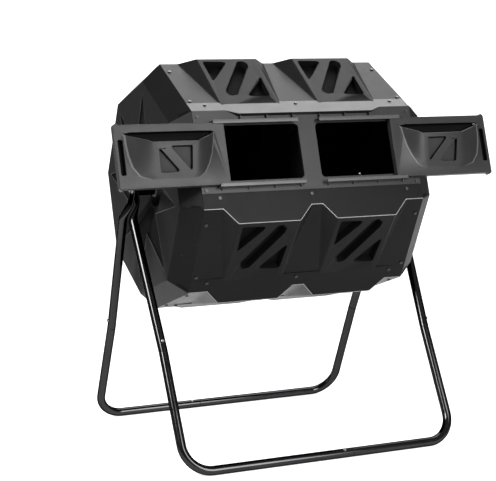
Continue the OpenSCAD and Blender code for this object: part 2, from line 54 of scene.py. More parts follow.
def make_camera():
    sin_yaw, cos_yaw = math.sin(YAW), math.cos(YAW)
    sin_pitch, cos_pitch = math.sin(PITCH), math.cos(PITCH)
    forward = Vector((-sin_yaw * cos_pitch, cos_yaw * cos_pitch, -sin_pitch))
    right = Vector((cos_yaw, sin_yaw, 0.0))
    up = right.cross(forward)
    sin_roll, cos_roll = math.sin(ROLL), math.cos(ROLL)
    x = cos_roll * right + sin_roll * up
    y = -sin_roll * right + cos_roll * up
    matrix = Matrix((x, y, -forward)).transposed().to_4x4()
    matrix.translation = EYE
    data = bpy.data.cameras.new("photo_camera")
    data.sensor_width = SENSOR
    data.lens = LENS
    data.clip_start = NEAREST
    data.clip_end = FARTHEST
    camera = bpy.data.objects.new("photo_camera", data)
    bpy.context.collection.objects.link(camera)
    camera.matrix_world = matrix
    bpy.context.scene.camera = camera


make_camera()

# ---------------------------------------------------------------- materials
DUST_COLOR = (0.20, 0.19, 0.175)
GRAIN_HEIGHT = 0.0006


def shade(name, base, rough, metallic=0.0, grain=600.0, bump=0.08, wear=0.0,
          wear_color=(0.3, 0.3, 0.3), vary=0.25, dust=0.0, specular=0.5, tint=1.0):
    """A surface with fine grain, broad tone variation, scattered scuffs and settled dust."""
    material = bpy.data.materials.new(name)
    material.use_nodes = True
    nodes = material.node_tree.nodes
    link = material.node_tree.links.new
    bsdf = nodes["Principled BSDF"]
    bsdf.inputs["Metallic"].default_value = metallic
    bsdf.inputs["Specular IOR Level"].default_value = specular
    bsdf.inputs["Specular Tint"].default_value = (tint, tint, tint, 1.0)
    place = nodes.new("ShaderNodeTexCoord").outputs["Object"]

    def noise(scale, detail, roughness=0.55):
        node = nodes.new("ShaderNodeTexNoise")
        node.inputs["Scale"].default_value = scale
        node.inputs["Detail"].default_value = detail
        node.inputs["Roughness"].default_value = roughness
        link(place, node.inputs["Vector"])
        return node.outputs["Fac"]

    def ramp(source, low, high, at_low, at_high):
        node = nodes.new("ShaderNodeMapRange")
        node.inputs["From Min"].default_value = low
        node.inputs["From Max"].default_value = high
        node.inputs["To Min"].default_value = at_low
        node.inputs["To Max"].default_value = at_high
        link(source, node.inputs["Value"])
        return node.outputs["Result"]

    def product(a, b):
        node = nodes.new("ShaderNodeMath")
        node.operation = "MULTIPLY"
        link(a, node.inputs[0])
        link(b, node.inputs[1])
        return node.outputs["Value"]

    def mix(factor, a, b):
        node = nodes.new("ShaderNodeMix")
        node.data_type = "RGBA"
        link(factor, node.inputs["Factor"])
        for socket, value in ((node.inputs["A"], a), (node.inputs["B"], b)):
            if isinstance(value, tuple):
                socket.default_value = (*value, 1.0)
            else:
                link(value, socket)
        return node.outputs["Result"]

    broad = noise(7.0, 4.0)
    fine = noise(grain, 2.0)
    dark = tuple(c * (1 - vary) for c in base)
    light = tuple(min(1.0, c * (1 + vary)) for c in base)
    color = mix(ramp(broad, 0.3, 0.7, 0.0, 1.0), dark, light)
    if wear:
        # fine scuffs where hands and soil rub, strongest in scattered patches
        scuff = ramp(noise(160.0, 6.0, 0.75), 0.60, 0.78, 0.0, wear)
        patch = ramp(noise(11.0, 3.0, 0.5), 0.52, 0.70, 0.0, 1.0)
        color = mix(product(scuff, patch), color, wear_color)
    if dust:
        # mottled, and only on what faces up
        split = nodes.new("ShaderNodeSeparateXYZ")
        link(nodes.new("ShaderNodeNewGeometry").outputs["Normal"], split.inputs["Vector"])
        upward = ramp(split.outputs["Z"], 0.2, 1.0, 0.0, dust)
        mottled = ramp(noise(18.0, 6.0, 0.65), 0.3, 0.7, 0.3, 1.0)
        color = mix(product(upward, mottled), color, DUST_COLOR)
    link(color, bsdf.inputs["Base Color"])
    sheen = ramp(noise(28.0, 5.0), 0.3, 0.7, max(0.03, rough - 0.025), rough + 0.03)
    link(sheen, bsdf.inputs["Roughness"])
    relief = nodes.new("ShaderNodeBump")
    relief.inputs["Strength"].default_value = bump
    relief.inputs["Distance"].default_value = GRAIN_HEIGHT
    link(fine, relief.inputs["Height"])
    link(relief.outputs["Normal"], bsdf.inputs["Normal"])
    return material


PANEL = shade("panel_plastic", (0.0052, 0.0052, 0.0054), 0.36, grain=900, bump=0.10, vary=0.10,
              wear=0.30, wear_color=(0.10, 0.10, 0.105), dust=0.016, specular=0.055)
# a darker, less glossy copy of the drum plastic for the caps: painted shade on the end faces
CAP = shade("cap_shaded_plastic", (0.0048, 0.0048, 0.0050), 0.34, grain=900, bump=0.08, vary=0.10,
            wear=0.40, wear_color=(0.12, 0.12, 0.125), dust=0.006, specular=0.035)
DOOR = shade("door_plastic", (0.0120, 0.0120, 0.0124), 0.36, grain=900, bump=0.08, vary=0.08,
             wear=0.35, wear_color=(0.12, 0.12, 0.125), dust=0.008, specular=0.20)
# a paler, glossier copy of the drum plastic for the panel round the doors: painted light on the
# facet that faces the front lamp
DOOR_FRAME = shade("frame_lit_plastic", (0.0120, 0.0120, 0.0124), 0.36, grain=900, bump=0.08,
                   vary=0.08, wear=0.30, wear_color=(0.10, 0.10, 0.105), dust=0.008,
                   specular=0.20)
RAIL = shade("rail_plastic", (0.020, 0.020, 0.021), 0.34, grain=700, bump=0.06, vary=0.10,
             wear=0.40, wear_color=(0.16, 0.16, 0.165), specular=0.4)
# painted deep shade: a near-black, dull surface for pocket walls, slot floors, the finger shelf,
# the drain patches and the divider inside the drum
DEEP_SHADOW = shade("painted_deep_shade", (0.0035, 0.0035, 0.0037), 0.55, grain=700, bump=0.10,
              vary=0.10, specular=0.02)
# painted glint: pale grey for the narrow bands along folds and rounded edges, where the lamps'
# highlight sits; the darker scuffs on it are wear
EDGE_GLINT = shade("painted_edge_glint", (0.17, 0.17, 0.172), 0.38, grain=900, bump=0.06, vary=0.12,
             wear=0.3, wear_color=(0.06, 0.06, 0.062), specular=0.3)
# painted glint, dimmer: for the rim of the caps' sunk star and the bands along the door bulge's
# crown and foot; the darker scuffs on it are wear
DIM_GLINT = shade("painted_soft_glint", (0.055, 0.055, 0.056), 0.38, grain=900, bump=0.06, vary=0.12,
               wear=0.3, wear_color=(0.02, 0.02, 0.02), specular=0.3)
# painted shade tone for the floors of the door's sunk triangles: a duller copy of the door plastic
SHADE = shade("recess_painted_shade", (0.0160, 0.0160, 0.0163), 0.48, grain=900, bump=0.10, vary=0.10,
              specular=0.14)
TUBE = shade("black_coated_steel", (0.030, 0.030, 0.031), 0.13, grain=320, bump=0.015,
             metallic=1.0, vary=0.12, wear=0.08, wear_color=(0.06, 0.06, 0.06), tint=0.10)
ZINC = shade("zinc_plated_steel", (0.42, 0.42, 0.44), 0.32, metallic=1.0, grain=420,
             bump=0.05, vary=0.10)
SCREW = shade("screw_steel", (0.012, 0.012, 0.012), 0.36, metallic=0.45, grain=500,
              bump=0.08, vary=0.15)
BUTTON = shade("button_steel", (0.16, 0.16, 0.165), 0.26, metallic=1.0, grain=500,
               bump=0.04, vary=0.10)
NYLON = shade("nylon", (0.030, 0.030, 0.031), 0.45, grain=500, bump=0.05, vary=0.06)

BY_SLOT = {
    "drum_plastic": PANEL, "door_plastic": DOOR, "rail_plastic": RAIL,
    "black_steel": TUBE, "zinc_steel": ZINC, "screw_steel": SCREW, "nylon": NYLON,
}
# the divider inside the drum takes painted deep shade
BY_NODE = {"divider": DEEP_SHADOW, "panel_door": DOOR_FRAME}

# A moulded piece's faces choose their finish by number: its own plastic, painted deep shade for
# hollows, a painted shade tone for recess floors, and two paler bands of painted glint along folds
# and rounded edges.
PLAIN, DARK, RECESS, BRIGHT, SOFT_GLINT_BAND = range(5)
PAINTED_LIGHT_MATERIALS = (DEEP_SHADOW, SHADE, EDGE_GLINT, DIM_GLINT)

SHARP_ANGLE = math.radians(24)
WELD = 0.00002


def paint(obj, material):
    if not obj.material_slots:
        obj.data.materials.append(material)
    for slot in obj.material_slots:
        slot.material = material


def soften(obj, width):
    """Rounds a piece's edges the way a mould or a saw leaves them."""
    weld = obj.modifiers.new("weld", "WELD")
    weld.merge_threshold = WELD
    bevel = obj.modifiers.new("bevel", "BEVEL")
    bevel.width = width
    bevel.segments = 2
    bevel.limit_method = "ANGLE"
    bevel.angle_limit = SHARP_ANGLE
    bevel.harden_normals = False
    bevel.use_clamp_overlap = True
    weighted = obj.modifiers.new("weighted", "WEIGHTED_NORMAL")
    weighted.keep_sharp = False
    weighted.weight = 50


# ---------------------------------------------------------------- frame of the drum
# From here on sizes are in millimetres; TO_M and DRUM turn them into metres.
MM = 0.001
AXLE = 631.0
RADIUS = 300.0
APOTHEM = RADIUS * math.cos(math.pi / 8)
HALF_SIDE = RADIUS * math.sin(math.pi / 8)
LAP = 37.0
SEAM_Y = LAP - HALF_SIDE
HALF_LEN = 282.0
REST_TURN = math.radians(6)
TO_M = Matrix.Scale(MM, 4)
DRUM = TO_M @ Matrix.Translation((0, 0, AXLE)) @ Matrix.Rotation(REST_TURN, 4, "X")
FLIP_X = Matrix.Scale(-1, 4, Vector((1, 0, 0)))


def facet(number):
    """Facet axes: X along the drum, Y up the facet, Z outward from its surface."""
    return (DRUM @ Matrix.Rotation(math.radians(22.5 + 45 * number), 4, "X")
            @ Matrix.Translation((0, 0, APOTHEM)))


# ---------------------------------------------------------------- mesh helpers
class Skin:
    """Collects shared corners and faces of one moulded piece, in millimetres."""

    def __init__(self):
        self.bm = bmesh.new()
        self.weight = self.bm.edges.layers.float.new("bevel_weight_edge")
        self.known = {}
        self.finish = PLAIN

    def corner(self, point):
        key = tuple(round(c, 2) for c in point)
        if key not in self.known:
            self.known[key] = self.bm.verts.new(point)
        return self.known[key]

    def face(self, points):
        corners = []
        for point in points:
            corner = self.corner(point)
            if not corners or corner is not corners[-1]:
                corners.append(corner)
        if corners[0] is corners[-1]:
            corners.pop()
        if len(corners) < 3 or self.bm.faces.get(corners):
            return
        self.bm.faces.new(corners).material_index = self.finish

    def flat(self, outer, holes, place):
        """A flat outline with holes, filled; place turns (x, y) into a point."""
        loops = [[Vector((x, y, 0)) for x, y in loop] for loop in [outer] + holes]
        points = [p for loop in loops for p in loop]
        for a, b, c in tessellate_polygon(loops):
            triangle = [points[a], points[b], points[c]]
            area = (triangle[1] - triangle[0]).cross(triangle[2] - triangle[0]).z
            if abs(area) < 1e-6:
                continue
            if area < 0:
                triangle.reverse()
            self.face([place(p.x, p.y) for p in triangle])

    def wall(self, low, high):
        """Closed band between two loops of equal length."""
        for i in range(len(low)):
            j = (i + 1) % len(low)
            self.face([low[i], low[j], high[j], high[i]])

    def strip(self, a, b):
        """Open band between two rows of equal length."""
        for i in range(len(a) - 1):
            self.face([a[i], a[i + 1], b[i + 1], b[i]])

    def crease(self, a, b, weight):
        """Gives one edge its share of the piece's bevel width."""
        edge = self.bm.edges.get((self.corner(a), self.corner(b)))
        if edge:
            edge[self.weight] = weight

    def sharpen(self, degrees, weight):
        """Creases every edge that bends more than this and has no crease yet."""
        for edge in self.bm.edges:
            if edge[self.weight] == 0 and len(edge.link_faces) == 2:
                if edge.calc_face_angle(0) > math.radians(degrees):
                    edge[self.weight] = weight

    def to_object(self, name, matrix, mirror=False, recalc=False):
        bm = self.bm.copy()
        if mirror:
            bmesh.ops.transform(bm, matrix=FLIP_X, verts=bm.verts)
            bmesh.ops.reverse_faces(bm, faces=bm.faces)
        bmesh.ops.transform(bm, matrix=matrix, verts=bm.verts)
        if recalc:
            bmesh.ops.recalc_face_normals(bm, faces=bm.faces)
        for face in bm.faces:
            face.smooth = True
        mesh = bpy.data.meshes.new(name)
        bm.to_mesh(mesh)
        bm.free()
        obj = bpy.data.objects.new(name, mesh)
        bpy.context.collection.objects.link(obj)
        return obj


def rounded(points, radius, steps=4):
    """Cuts an outline's corners back to arcs of about this radius."""
    out = []
    for i, point in enumerate(points):
        corner = Vector(point)
        before = Vector(points[i - 1]) - corner
        after = Vector(points[(i + 1) % len(points)]) - corner
        a, b = before.normalized(), after.normalized()
        half = a.angle(b) / 2
        d = min(radius / math.tan(half), 0.45 * min(before.length, after.length))
        start, end = corner + a * d, corner + b * d
        for q in range(steps + 1):
            t = q / steps
            p = start * (1 - t) ** 2 + corner * 2 * t * (1 - t) + end * t ** 2
            out.append((p.x, p.y))
    return out


def stadium(x0, y0, x1, y1, radius, steps=8):
    """The outline of a slot with round ends at (x0, y0) and (x1, y1)."""
    along = math.atan2(y1 - y0, x1 - x0)
    out = []
    for x, y, turn in ((x1, y1, -0.5), (x0, y0, 0.5)):
        for q in range(steps + 1):
            t = math.pi * (q / steps + turn)
            out.append((x + radius * math.cos(along + t), y + radius * math.sin(along + t)))
    return out


def shrunk(points, d):
    """An outline moved inward by d towards its middle, keeping its number of points."""
    middle = sum((Vector(p) for p in points), Vector((0, 0))) / len(points)
    return [tuple(Vector(p) + (middle - Vector(p)).normalized() * d) for p in points]


def finish_piece(obj, material, body, nodes, bevel, segments, thick=0.0):
    for m in (material, *PAINTED_LIGHT_MATERIALS):
        obj.data.materials.append(m)
    if thick:
        wall = obj.modifiers.new("thickness", "SOLIDIFY")
        wall.thickness = thick * MM
        wall.offset = -1.0
        wall.use_even_offset = False
        bpy.context.view_layer.update()
        solid = bpy.data.meshes.new_from_object(
            obj.evaluated_get(bpy.context.evaluated_depsgraph_get()))
        obj.modifiers.clear()
        obj.data = solid
        solid.name = obj.name
    obj.data.set_sharp_from_angle(angle=SHARP_ANGLE)
    edge = obj.modifiers.new("bevel", "BEVEL")
    edge.width = bevel * MM
    edge.segments = segments
    edge.limit_method = "WEIGHT"
    edge.harden_normals = True
    edge.use_clamp_overlap = False
    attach(obj, body)
    if nodes:
        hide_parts(*nodes)


# ---------------------------------------------------------------- plain panels
# A panel carries two bulges. A bulge is widest at the facet's upper edge, drops to a brow,
# and its flat face runs from the brow down to the seam.
BULGES = (-125, 125)
SHOULDER, BROW, BASE, DROP = 111, 78, 76, 36
BROW_Y = HALF_SIDE - DROP * math.cos(math.pi / 4)
BROW_Z = DROP * math.sin(math.pi / 4)
SLOPE = math.atan2(BROW_Z, BROW_Y - SEAM_Y)
FACE_LEN = (BROW_Y - SEAM_Y) / math.cos(SLOPE)
POCKETS = [
    rounded([(-65, -11), (-63, -91), (-3, -13)], 6),
    rounded([(65, -69), (5, -145), (63, -148)], 6),
    stadium(-29, -128, 33, -26, 15),
]
POCKET_DEPTH, POCKET_DRAFT = 17.0, 3.0
FOLD_BAND, STRIP_GAP = 1.7, 0.7
FLANGE, FLANGE_Z, FLANGE_END_Z = 22, -2.6, -3.6
PANEL_WALL = 2.4


def on_face(cx, depth=0.0):
    """Bulge front-face axes: origin in the middle of its top edge, Y up the face."""
    c, s = math.cos(SLOPE), math.sin(SLOPE)

    def place(x, y):
        return (cx + x, BROW_Y + y * c + depth * s, BROW_Z + y * s - depth * c)
    return place


def on_strip(x, w):
    """The plane under the next panel up: w is how far past the facet's upper edge."""
    return (x, HALF_SIDE + w * math.cos(math.pi / 4), -w * math.sin(math.pi / 4))


def raised(line, d):
    """A polyline running along X moved sideways by d, corners mitred."""
    out = []
    for i, point in enumerate(line):
        p = Vector(point)
        a = (p - Vector(line[i - 1])).normalized() if i else None
        b = (Vector(line[i + 1]) - p).normalized() if i < len(line) - 1 else None
        a, b = a or b, b or a
        n = Vector((-a.y - b.y, a.x + b.x)).normalized()
        q = p + n * (d / n.dot(Vector((-a.y, a.x))))
        out.append((q.x, q.y))
    out[0], out[-1] = (line[0][0], out[0][1]), (line[-1][0], out[-1][1])
    return out


def add_pocket(skin, cx, hole):
    low = shrunk(hole, POCKET_DRAFT)
    top = [on_face(cx)(*p) for p in hole]
    bottom = [on_face(cx, POCKET_DEPTH)(*p) for p in low]
    # the pocket's wall and floor are painted deep shade
    skin.finish = DARK
    skin.wall(bottom, top)
    skin.flat(low, [], on_face(cx, POCKET_DEPTH))
    skin.finish = PLAIN
    for i in range(len(top)):
        skin.crease(top[i - 1], top[i], 0.10)


def add_bulge(skin, cx):
    for side in (-1, 1):
        shoulder = (cx + side * SHOULDER, HALF_SIDE, 0)
        brow = (cx + side * BROW, BROW_Y, BROW_Z)
        base = (cx + side * BASE, SEAM_Y, 0)
        skin.face([shoulder, base, brow] if side < 0 else [shoulder, brow, base])
    skin.flat([(-BASE, -FACE_LEN), (BASE, -FACE_LEN), (BROW, 0), (-BROW, 0)],
              POCKETS, on_face(cx))
    for side in (-1, 1):
        base = (cx + side * BASE, SEAM_Y, 0)
        skin.crease((cx + side * SHOULDER, HALF_SIDE, 0), base, 0.42)
        skin.crease((cx + side * BROW, BROW_Y, BROW_Z), base, 0.42)
    for hole in POCKETS:
        add_pocket(skin, cx, hole)


def build_panel():
    skin = Skin()
    # the strip under the next panel up: one plane, ending at a stepped fold line
    fold = [(-HALF_LEN, 0)]
    for cx in BULGES:
        fold += [(cx - SHOULDER, 0), (cx - BROW, -DROP), (cx + BROW, -DROP), (cx + SHOULDER, 0)]
    fold.append((HALF_LEN, 0))
    band = raised(fold, FOLD_BAND)
    # a narrow band along the fold is painted glint
    skin.finish = BRIGHT
    skin.strip([on_strip(*p) for p in fold], [on_strip(*p) for p in band])
    skin.finish = PLAIN
    skin.flat(band + [(HALF_LEN, LAP - STRIP_GAP), (-HALF_LEN, LAP - STRIP_GAP)], [], on_strip)
    for p, q in zip(fold, fold[1:]):
        skin.crease(on_strip(*p), on_strip(*q), 0.12)
    # the plain ground beside and between the bulges
    low_x, high_x = [-HALF_LEN], [-HALF_LEN]
    for cx in BULGES:
        low_x += [cx - BASE, cx + BASE]
        high_x += [cx - SHOULDER, cx + SHOULDER]
    low_x.append(HALF_LEN)
    high_x.append(HALF_LEN)
    for i in range(0, len(low_x), 2):
        skin.face([(low_x[i], SEAM_Y, 0), (low_x[i + 1], SEAM_Y, 0),
                   (high_x[i + 1], HALF_SIDE, 0), (high_x[i], HALF_SIDE, 0)])
    for cx in BULGES:
        add_bulge(skin, cx)
    # joggled flange under the next panel's strip
    skin.face([(-HALF_LEN, SEAM_Y, FLANGE_Z), (-HALF_LEN, SEAM_Y - FLANGE, FLANGE_END_Z),
               (HALF_LEN, SEAM_Y - FLANGE, FLANGE_END_Z), (HALF_LEN, SEAM_Y, FLANGE_Z)])
    return skin


panel = build_panel()
FACETS = {"panel_top": 0, "panel_front": 2, "panel_front_low": 3, "panel_bottom": 4,
          "panel_back_low": 5, "panel_back": 6, "panel_back_top": 7}
for node, number in FACETS.items():
    obj = panel.to_object("moulded_" + node, facet(number))
    finish_piece(obj, PANEL, "drum", [node], bevel=9.0, segments=4,
                 thick=PANEL_WALL)

# ---------------------------------------------------------------- end caps
CAP_X, CAP_R, CAP_WALL = 325.0, 260.0, 2.6
LIP, LIP_STEP = 16, 5
STAR_TIP, STAR_DIP, STAR_BAND = 232, 108, 2.6
STAR_STEP, STAR_DRAFT = 5, 0.985
HUB_R, HUB_DEPTH = 46, 34
WELL_R, WELL_DEPTH, BORE_R = 40, 52, 16


def ring(x, r, n=8):
    turns = [2 * math.pi * i / n for i in range(n)]
    return [(x, r * math.sin(a), r * math.cos(a)) for a in turns]


def build_cap():
    skin = Skin()
    star = []
    for i in range(16):
        r = STAR_DIP if i % 2 else STAR_TIP
        a = 2 * math.pi * i / 16
        star.append((r * math.sin(a), r * math.cos(a)))
    outer = ring(HALF_LEN, RADIUS)
    rim = ring(CAP_X, CAP_R)
    skin.wall(ring(HALF_LEN - LIP, RADIUS - LIP_STEP), outer)
    skin.wall(outer, rim)
    # flat border between the end octagon and the sunk star
    wide = [tuple(Vector(p) * (1 + STAR_BAND / Vector(p).length)) for p in star]
    for i in range(8):
        dip = [(CAP_X, *wide[k % 16]) for k in (2 * i + 2, 2 * i + 1, 2 * i)]
        skin.face([rim[(i + 1) % 8], *dip, rim[i]])
    top = [(CAP_X, *p) for p in star]
    # the star's rim wall is painted dim glint
    skin.finish = SOFT_GLINT_BAND
    skin.wall([(CAP_X, *p) for p in wide], top)
    skin.finish = PLAIN
    hub = ring(CAP_X - HUB_DEPTH, HUB_R, 16)
    step = [(CAP_X - STAR_STEP, p[0] * STAR_DRAFT, p[1] * STAR_DRAFT) for p in star]
    well = ring(CAP_X - WELL_DEPTH, WELL_R, 16)
    skin.wall(top, step)
    skin.wall(step, hub)
    skin.wall(hub, well)
    skin.wall(well, ring(CAP_X - WELL_DEPTH, BORE_R, 16))
    for i in range(8):
        skin.crease(outer[i], rim[i], 0.9)
        skin.crease(outer[i], outer[(i + 1) % 8], 0.45)
        skin.crease(rim[i], rim[(i + 1) % 8], 0.6)
    for i in range(16):
        skin.crease(top[i], top[(i + 1) % 16], 0.2)
        skin.crease(hub[i], hub[(i + 1) % 16], 1.0)
    skin.sharpen(16, 0.5)
    return skin


cap = build_cap()
for side in ("left", "right"):
    obj = cap.to_object("moulded_cap_" + side, DRUM, mirror=side == "left", recalc=True)
    finish_piece(obj, CAP, "drum", ["end_cap_" + side], bevel=3.0, segments=3,
                 thick=CAP_WALL)

MARK_TOP, MARK_FOOT = 0.8, -0.5
MARK_OUTLINE = stadium(8, 6.0, 30, 6.0, 2.8)


def build_slot_shade():
    """Thin patches of painted shade that stand in for the drain slots in the cap's sloping edge.

    There is one beside each of its eight ridges, and they stand slightly proud of it.
    """
    skin = Skin()
    for i in range(8):
        a, b = 2 * math.pi * i / 8, 2 * math.pi * (i + 1) / 8
        low = Vector((HALF_LEN, RADIUS * math.sin(a), RADIUS * math.cos(a)))
        high = Vector((CAP_X, CAP_R * math.sin(a), CAP_R * math.cos(a)))
        across = Vector((0, math.sin(b) - math.sin(a), math.cos(b) - math.cos(a))).normalized()
        along = (high - low).normalized()
        out = along.cross(across).normalized()
        if out.dot(low) < 0:
            out.negate()
        top, foot = [[tuple(low + along * x + across * y + out * lift) for x, y in MARK_OUTLINE]
                     for lift in (MARK_TOP, MARK_FOOT)]
        skin.wall(foot, top)
        skin.face(top)
    return skin


marks = build_slot_shade()
for side in ("left", "right"):
    obj = marks.to_object("cap_slot_shade_" + side, DRUM, mirror=side == "left", recalc=True)
    finish_piece(obj, DEEP_SHADOW, "drum", [], bevel=0.2, segments=1)

# ---------------------------------------------------------------- doors
# X runs away from the mullion, Y up the facet and Z outward. The bulge has a flat sloping
# face, and each side of its outline is a short curve through a few points.
RIM, LENGTH, LOW, HIGH, BACK_Z = 14.6, 264.0, -62.0, 83.5, 0.9
BULGE, TOP_Y, BOTTOM_Y, POCKET_Y = 21.0, 38.0, -45.0, 62.0
LEFT_EDGE = [(26, 62), (30, 38), (36, 13), (45, -9), (58, -31), (72, -41)]
RIGHT_EDGE = [(242, 62), (241, 37), (238, 13), (231, -14), (215, -35), (188, -43)]
FACE_TOP = (75, 181)
FACE_LOW = (88, 170)
COLUMNS, ROWS = 14, 20
TRIANGLES = [rounded([(89, 28), (91, -28), (142, 28)], 4),
             rounded([(169, 27), (119, -28), (165, -29)], 4)]
TRIANGLE_DEPTH = 8.5
SHELF_Z, SHELF_MIDDLE, SHELF_RISE, BROW_START = 4.5, 134, 2, 0.91
CORNER, LOBE, LOBE_IN = 12, 7, 4
FINGER_SLOT = rounded([(244.5, -31), (256.5, -31), (256.5, 49), (244.5, 49)], 3.5)
FINGER_SLOT_Z = 3.5
DOOR_X, DOOR_WALL = 214, 2.2


def lerp(a, b, t):
    return a + (b - a) * t


def flattened(points):
    return [(p[0], p[1]) for p in points]


def on_curve(points, t):
    u = t * (len(points) - 1)
    i = min(int(u), len(points) - 2)
    return Vector(points[i]).lerp(Vector(points[i + 1]), u - i)


def slope_z(y):
    """Height of the bulge's flat face above the rim plane."""
    return RIM + BULGE * ((y - BOTTOM_Y) / (TOP_Y - BOTTOM_Y))


def on_slope(depth):
    return lambda x, y: (x, y, slope_z(y) - depth)


def at_height(z):
    return lambda x, y: (x, y, z)


def column(edge, top_x, low_x, s):
    """Points down one column of a side wall; s is 0 at the rim, 1 at the face."""
    out = []
    for r in range(ROWS + 1):
        t = r / ROWS
        foot = on_curve(edge, t)
        face_y = lerp(TOP_Y, BOTTOM_Y, t)
        x = lerp(foot.x, lerp(top_x, low_x, t), s)
        y = lerp(foot.y, face_y, s ** 0.85)
        z = lerp(RIM, slope_z(face_y), math.sin(s * math.pi / 2) ** 1.15)
        out.append((x, y, z))
    return out


def add_recess(skin, outline, top_at, low, low_at, floor_finish):
    """A sunk shape: its wall in painted deep shade, its floor in the given finish, and the crease
    round its upper edge.
    """
    top = [top_at(*p) for p in outline]
    skin.finish = DARK
    skin.wall([low_at(*p) for p in low], top)
    skin.finish = floor_finish
    skin.flat(low, [], low_at)
    skin.finish = PLAIN
    for i in range(len(top)):
        skin.crease(top[i - 1], top[i], 0.6)


def add_shelf(skin, crown):
    """The finger shelf above the bulge; returns the row along its upper rim."""
    last = len(crown) - 1
    foot = [(lerp(p[0], SHELF_MIDDLE, 0.05), p[1] + 1.5, SHELF_Z) for p in crown]
    brow = [tuple(Vector(p).lerp(Vector(q), BROW_START)) for p, q in zip(foot, crown)]
    back = [(lerp(foot[0][0], foot[-1][0], i / last), POCKET_Y + SHELF_RISE, SHELF_Z)
            for i in range(last + 1)]
    upper = []
    for i in range(last + 1):
        rise = SHELF_RISE if 0 < i < last else 0
        upper.append((lerp(LEFT_EDGE[0][0], RIGHT_EDGE[0][0], i / last), POCKET_Y + rise, RIM))
    # the shelf's hollow faces are painted deep shade; the band just under the crown is painted dim
    # glint
    skin.finish = DARK
    skin.strip(foot, brow)
    skin.finish = SOFT_GLINT_BAND
    skin.strip(brow, crown)
    skin.finish = DARK
    skin.strip(back, foot)
    skin.strip(upper, back)
    skin.finish = PLAIN
    for row, weight in ((upper, 0.7), (crown, 1.0)):
        for a, b in zip(row, row[1:]):
            skin.crease(a, b, weight)
    return upper


def lobe(y, degrees):
    """One rounded corner of the door's outer end."""
    turns = [math.radians(d) for d in degrees]
    return [(LENGTH - LOBE + LOBE * math.cos(a), y + LOBE * math.sin(a)) for a in turns]


def build_door():
    skin = Skin()
    shares = [i / COLUMNS for i in range(COLUMNS + 1)]
    left = [column(LEFT_EDGE, FACE_TOP[0], FACE_LOW[0], s) for s in shares]
    right = [column(RIGHT_EDGE, FACE_TOP[1], FACE_LOW[1], s) for s in reversed(shares)]
    # the side-wall strip next to the rim is painted dim glint
    for side, rim_strip in ((left, 0), (right, COLUMNS - 1)):
        for i, (a, b) in enumerate(zip(side, side[1:])):
            skin.finish = SOFT_GLINT_BAND if i == rim_strip else PLAIN
            skin.strip(a, b)
    skin.finish = PLAIN
    skin.flat(flattened(left[-1]) + flattened(reversed(right[0])), TRIANGLES, on_slope(0.0))
    for hole in TRIANGLES:
        add_recess(skin, hole, on_slope(0.0), shrunk(hole, 1.6), on_slope(TRIANGLE_DEPTH), RECESS)
    upper = add_shelf(skin, [c[0] for c in left] + [c[0] for c in right])
    # the front plate round the bulge, its finger slot and corner lobes
    plate = [(0, LOW), (LENGTH - CORNER, LOW), *lobe(LOW + LOBE_IN, (-110, -80, -45, -10)),
             *lobe(HIGH - LOBE_IN, (10, 45, 80, 110)), (LENGTH - CORNER, HIGH), (0, HIGH)]
    low_row = flattened([c[-1] for c in left] + [c[-1] for c in right])
    outline = flattened(left[0]) + low_row[1:-1] + flattened(reversed(right[-1]))
    outline += flattened(reversed(upper[1:-1]))
    skin.flat(plate, [outline, FINGER_SLOT], at_height(RIM))
    add_recess(skin, FINGER_SLOT, at_height(RIM), shrunk(FINGER_SLOT, 1.0),
               at_height(FINGER_SLOT_Z), DARK)
    edge = [(x, y, RIM) for x, y in plate]
    skin.wall([(x, y, BACK_Z) for x, y in plate], edge)
    for i in range(len(edge)):
        skin.crease(edge[i - 1], edge[i], 1.0)
    return skin


door = build_door()
for side in ("left", "right"):
    place = facet(1) @ FLIP_X if side == "left" else facet(1)
    place = place @ Matrix.Translation((DOOR_X, 0, 0))
    obj = door.to_object("moulded_door_" + side, place, recalc=True)
    finish_piece(obj, DOOR, "door_" + side, ["door_" + side], bevel=1.6,
                 segments=3, thick=DOOR_WALL)

# ---------------------------------------------------------------- stand tubes
TUBE_R = 11.0
FOOT_Y, FOOT_X, JOINT_Z, LEAN = 325.0, 348.0, 266.0, 16.0
LEG_ANGLE = math.atan2(FOOT_Y, AXLE - TUBE_R)
JOINT_Y = FOOT_Y * (AXLE - JOINT_Z) / (AXLE - TUBE_R)
UPPER_RUN = (AXLE - JOINT_Z) / math.cos(LEG_ANGLE)
UPPER_LEN = math.hypot(UPPER_RUN, LEAN)
LEAN_ANGLE = math.atan2(LEAN, UPPER_RUN)
LOWER_LEN = (JOINT_Z - TUBE_R) / math.cos(LEG_ANGLE)
BEND, BEND_STEPS = 66.0, 18
SIDES = 40
# the pressed eye at the top of a leg: the back leg's lies outside the front leg's
EYE_X, EYE_STACK, EYE_THICK, EYE_WIDE = 338.0, 5.0, 2.5, 15
NECK, NECK_STEPS = 70, 12
EYE_OUTLINE = [(-18, 15), (0, 15), (6, 13.7), (10, 11.2), (13, 7.5), (14.6, 3.4)]
SPIGOT_R, SPIGOT_END_R = 9.3, 9.1
FRONT_SEAM, BACK_SEAM, SEAM_GAP = 72.0, 58.0, 0.5


def leg_axes(sx, sy, lean):
    """A leg's axes at its joint: Z up the leg. sx and sy are -1 for left and front."""
    m = Matrix.Diagonal((sx, -sy, 1, 1))
    m = m @ Matrix.Translation((FOOT_X, -JOINT_Y, JOINT_Z))
    m = m @ Matrix.Rotation(-LEG_ANGLE, 4, "X")
    return m @ Matrix.Rotation(LEAN_ANGLE, 4, "Y") if lean else m


